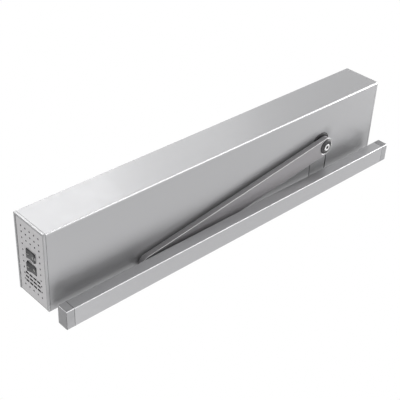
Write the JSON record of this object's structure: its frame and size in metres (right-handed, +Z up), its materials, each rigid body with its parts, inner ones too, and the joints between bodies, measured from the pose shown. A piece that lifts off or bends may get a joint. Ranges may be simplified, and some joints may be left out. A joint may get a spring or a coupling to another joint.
{
  "type": "automatic swing door operator",
  "caption": "Slim wall-mounted swing door drive with a perforated switch end, a geared spindle, a tapered lever arm and a slide rail for the door leaf.",
  "frame": {"origin": "middle of the four wall fixing holes, on the wall plane behind the back plate", "axes": "+X along the operator towards its spindle end, +Y into the wall, +Z up; the arm and the slide rail hang below the underside, and the spindle turns about Z"},
  "size_m": [0.692, 0.1392, 0.107],
  "materials": {
    "cover_silver": "satin silver powder coat",
    "panel_silver": "satin silver powder coat",
    "rail_silver": "fine satin anodised",
    "arm_silver": "satin grey metallic paint",
    "bright_steel": "turned and polished",
    "black_steel": "black oxide",
    "black_plastic": "fine texture",
    "switch_black": "semi gloss",
    "grey_plastic": "fine texture",
    "light_plastic": "smooth",
    "slide_plastic": "self-lubricating nylon",
    "zinc_steel": "zinc plated sheet",
    "plain_steel": "machined and oiled",
    "spring_steel": "oiled spring steel",
    "bronze": "turned",
    "magnet": "sintered",
    "circuit_board": "solder mask"
  },
  "bodies": {
    "operator": {"back_plate": "zinc_steel", "cover": "cover_silver", "left_end_cap": "cover_silver", "vent_panel": "panel_silver", "right_end_cap": "cover_silver", "slot_insert": "grey_plastic", "spindle_surround": "black_plastic", "gear_base_plate": "plain_steel", "motor_plate": "plain_steel", "gear_top_plate": "plain_steel", "case_posts": "zinc_steel", "spindle_bearings": "plain_steel", "gear_bearings": "bronze", "motor_can": "black_steel", "motor_magnets": "magnet", "encoder_cover": "light_plastic", "spring_bracket": "plain_steel", "rack_guides": "bronze", "closing_spring": "spring_steel", "power_supply_case": "zinc_steel", "power_supply_board": "circuit_board", "control_tray": "grey_plastic", "control_board": "circuit_board", "board_parts": "black_plastic", "terminal_blocks": "light_plastic", "mains_terminal": "light_plastic", "program_switch_body": "black_plastic", "mains_switch_body": "black_plastic", "case_screws": "zinc_steel", "cap_screws": "zinc_steel", "board_screws": "zinc_steel"},
    "output": {"spindle": "plain_steel", "spindle_spacer": "zinc_steel", "drive_gear": "plain_steel", "spring_pinion": "plain_steel", "swing_arm": "arm_silver", "arm_washer": "black_steel", "arm_screw": "bright_steel", "arm_pin": "zinc_steel"},
    "second_shaft": {"second_shaft": "plain_steel", "second_gear": "plain_steel", "second_pinion": "plain_steel"},
    "first_shaft": {"first_shaft": "plain_steel", "first_gear": "plain_steel", "first_pinion": "plain_steel"},
    "rotor": {"motor_shaft": "plain_steel", "motor_rotor": "plain_steel", "motor_pinion": "plain_steel", "encoder_disc": "black_plastic"},
    "rack": {"rack_bar": "plain_steel", "spring_cup": "zinc_steel"},
    "slide_block": {"slide_block": "slide_plastic"},
    "rail": {"rail_profile": "rail_silver", "rail_cap_left": "rail_silver", "rail_cap_right": "rail_silver", "rail_end_blocks": "zinc_steel"},
    "program_rocker": {"program_rocker": "switch_black"},
    "mains_rocker": {"mains_rocker": "switch_black"}
  },
  "joints": [
    {"name": "arm_swing", "type": "hinge", "parent": "operator", "child": "output", "pos_m": [0.2041, -0.06, 0], "axis": [0, 0, 1], "range_deg": [0, 120], "stiffness_Nm_per_rad": 3, "springref_deg": -85.94},
    {"name": "second_shaft_spin", "type": "hinge", "parent": "operator", "child": "second_shaft", "pos_m": [0.1501, -0.06, 0], "axis": [0, 0, 1], "range_deg": [-602, 2]},
    {"name": "first_shaft_spin", "type": "hinge", "parent": "operator", "child": "first_shaft", "pos_m": [0.1051, -0.06, 0], "axis": [0, 0, 1], "range_deg": [-10, 3010]},
    {"name": "rotor_spin", "type": "hinge", "parent": "operator", "child": "rotor", "pos_m": [0.0751, -0.06, 0], "axis": [0, 0, 1], "range_deg": [-12040, 40]},
    {"name": "rack_slide", "type": "slide", "parent": "operator", "child": "rack", "axis": [1, 0, 0], "range_m": [-0.0001, 0.0253], "deforming": ["closing_spring"]},
    {"name": "block_pivot", "type": "hinge", "parent": "output", "child": "slide_block", "pos_m": [-0.17597, -0.00658, -0.06], "axis": [0, 0, 1], "range_deg": [-60, 15]},
    {"name": "rail_slide", "type": "slide", "parent": "slide_block", "child": "rail", "axis": [1, 0, 0], "range_m": [-0.4695, 0.1095]},
    {"name": "program_rocker_tilt", "type": "hinge", "parent": "operator", "child": "program_rocker", "pos_m": [-0.3382, -0.0755, 0.0005], "axis": [0, 1, 0], "range_deg": [-9, 9]},
    {"name": "mains_rocker_tilt", "type": "hinge", "parent": "operator", "child": "mains_rocker", "pos_m": [-0.3382, -0.054, 0.0005], "axis": [0, 1, 0], "range_deg": [0, 16]}
  ],
  "couplings": [
    {"joint": "second_shaft_spin", "follows": "arm_swing", "ratio": -5},
    {"joint": "first_shaft_spin", "follows": "arm_swing", "ratio": 25},
    {"joint": "rotor_spin", "follows": "arm_swing", "ratio": -100},
    {"joint": "rack_slide", "follows": "arm_swing", "m_per_rad": 0.012}
  ]
}
